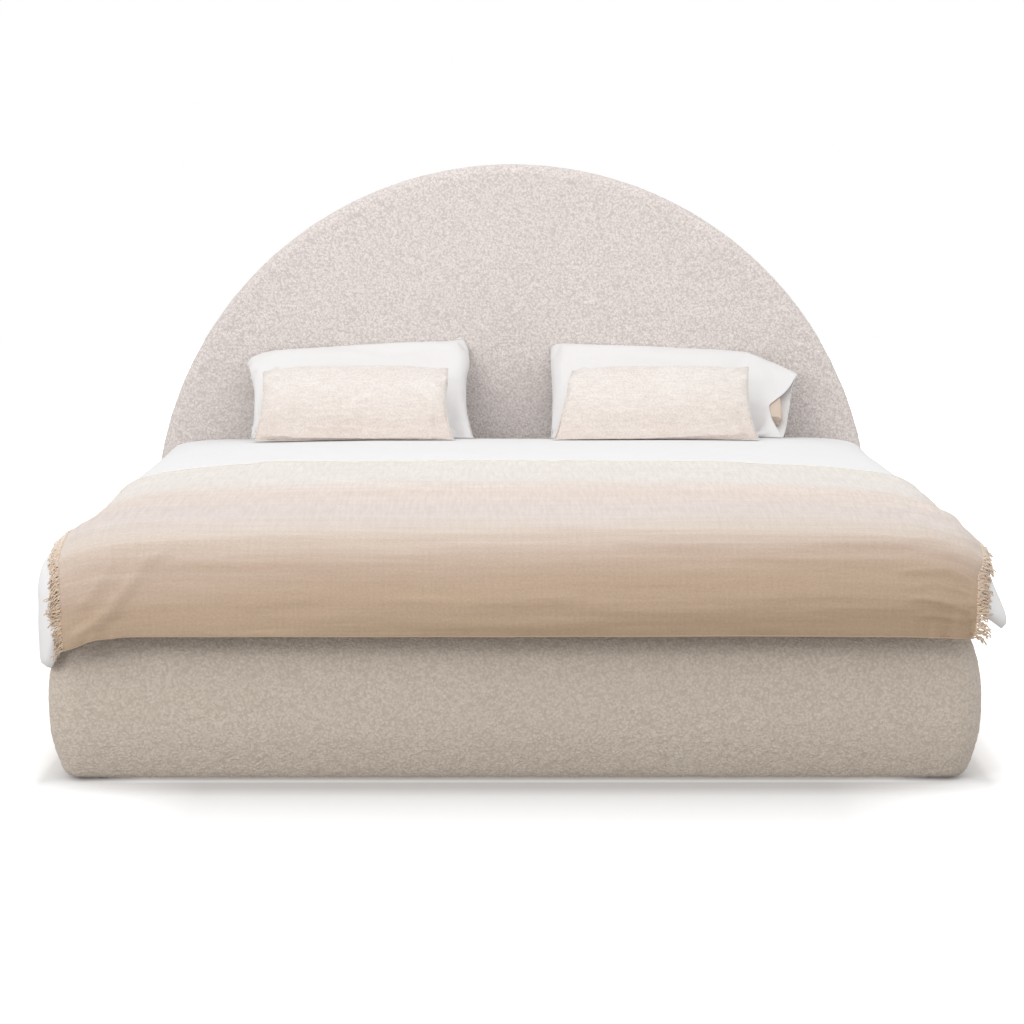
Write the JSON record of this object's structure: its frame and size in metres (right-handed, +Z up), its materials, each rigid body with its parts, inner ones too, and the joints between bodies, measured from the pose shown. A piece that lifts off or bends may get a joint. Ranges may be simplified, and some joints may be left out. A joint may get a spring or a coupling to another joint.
{
  "type": "upholstered bed",
  "caption": "King bed with a low barrel-sided boucle base and a half-disc headboard, made up with mattress, duvet, fringed throw, pillows and lumbar cushions.",
  "frame": {"origin": "centre of the overall box, on the floor under the glides", "axes": "+Z up, +X across the bed to the right seen from the foot, +Y from the foot to the headboard"},
  "size_m": [2.2, 2.375, 1.362],
  "materials": {
    "boucle": "matte",
    "foam": "matte",
    "timber": "satin",
    "plywood": "satin",
    "bracket_steel": "satin",
    "zinc_plated_steel": "satin",
    "glide_plastic": "matte",
    "back_cloth": "matte",
    "ticking": "matte",
    "cotton": "matte",
    "throw_weave": "matte",
    "cushion_linen": "matte"
  },
  "bodies": {
    "frame": {"side_board_left": "timber", "side_foam_left": "foam", "side_cover_left": "boucle", "slat_ledger_left": "timber", "headboard_stud_left": "timber", "corner_bracket_foot_left": "bracket_steel", "corner_bolt_foot_left": "zinc_plated_steel", "glide_foot_left": "glide_plastic", "corner_bracket_head_left": "bracket_steel", "corner_bolt_head_left": "zinc_plated_steel", "glide_head_left": "glide_plastic", "side_board_right": "timber", "side_foam_right": "foam", "side_cover_right": "boucle", "slat_ledger_right": "timber", "headboard_stud_right": "timber", "corner_bracket_foot_right": "bracket_steel", "corner_bolt_foot_right": "zinc_plated_steel", "glide_foot_right": "glide_plastic", "corner_bracket_head_right": "bracket_steel", "corner_bolt_head_right": "zinc_plated_steel", "glide_head_right": "glide_plastic", "beam_hanger_foot": "bracket_steel", "beam_hanger_head": "bracket_steel", "slat_01": "timber", "slat_02": "timber", "slat_03": "timber", "slat_04": "timber", "slat_05": "timber", "slat_06": "timber", "slat_07": "timber", "slat_08": "timber", "slat_09": "timber", "slat_10": "timber", "slat_11": "timber", "slat_12": "timber", "headboard_bolt_1": "zinc_plated_steel", "headboard_bolt_2": "zinc_plated_steel", "headboard_bolt_3": "zinc_plated_steel", "headboard_bolt_4": "zinc_plated_steel", "centre_leg_1": "timber", "centre_leg_2": "timber", "foot_board": "timber", "foot_foam": "foam", "foot_cover": "boucle", "centre_beam": "timber", "head_rail": "timber", "headboard_cover": "boucle", "headboard_foam": "foam", "headboard_face_panel": "plywood", "headboard_arch_rib": "plywood", "headboard_lower_rail": "timber", "headboard_back_panel": "back_cloth"},
    "mattress": {"mattress": "ticking"},
    "duvet": {"duvet": "cotton"},
    "throw": {"throw": "throw_weave"},
    "pillow_left": {"pillow_left": "cotton"},
    "pillow_right": {"pillow_right": "cotton"},
    "cushion_left": {"cushion_left": "cushion_linen"},
    "cushion_right": {"cushion_right": "cushion_linen"}
  },
  "joints": [
    {"name": "mattress_lift", "type": "slide", "parent": "frame", "child": "mattress", "axis": [0, 0, 1], "range_m": [0, 0.35]},
    {"name": "duvet_lift", "type": "slide", "parent": "mattress", "child": "duvet", "axis": [0, 0, 1], "range_m": [0, 0.35]},
    {"name": "throw_lift", "type": "slide", "parent": "duvet", "child": "throw", "axis": [0, 0, 1], "range_m": [0, 0.32]},
    {"name": "pillow_left_lift", "type": "slide", "parent": "duvet", "child": "pillow_left", "axis": [0, 0, 1], "range_m": [0, 0.3]},
    {"name": "pillow_right_lift", "type": "slide", "parent": "duvet", "child": "pillow_right", "axis": [0, 0, 1], "range_m": [0, 0.3]},
    {"name": "cushion_left_lift", "type": "slide", "parent": "pillow_left", "child": "cushion_left", "axis": [0, 0, 1], "range_m": [0, 0.25]},
    {"name": "cushion_right_lift", "type": "slide", "parent": "pillow_right", "child": "cushion_right", "axis": [0, 0, 1], "range_m": [0, 0.25]}
  ]
}
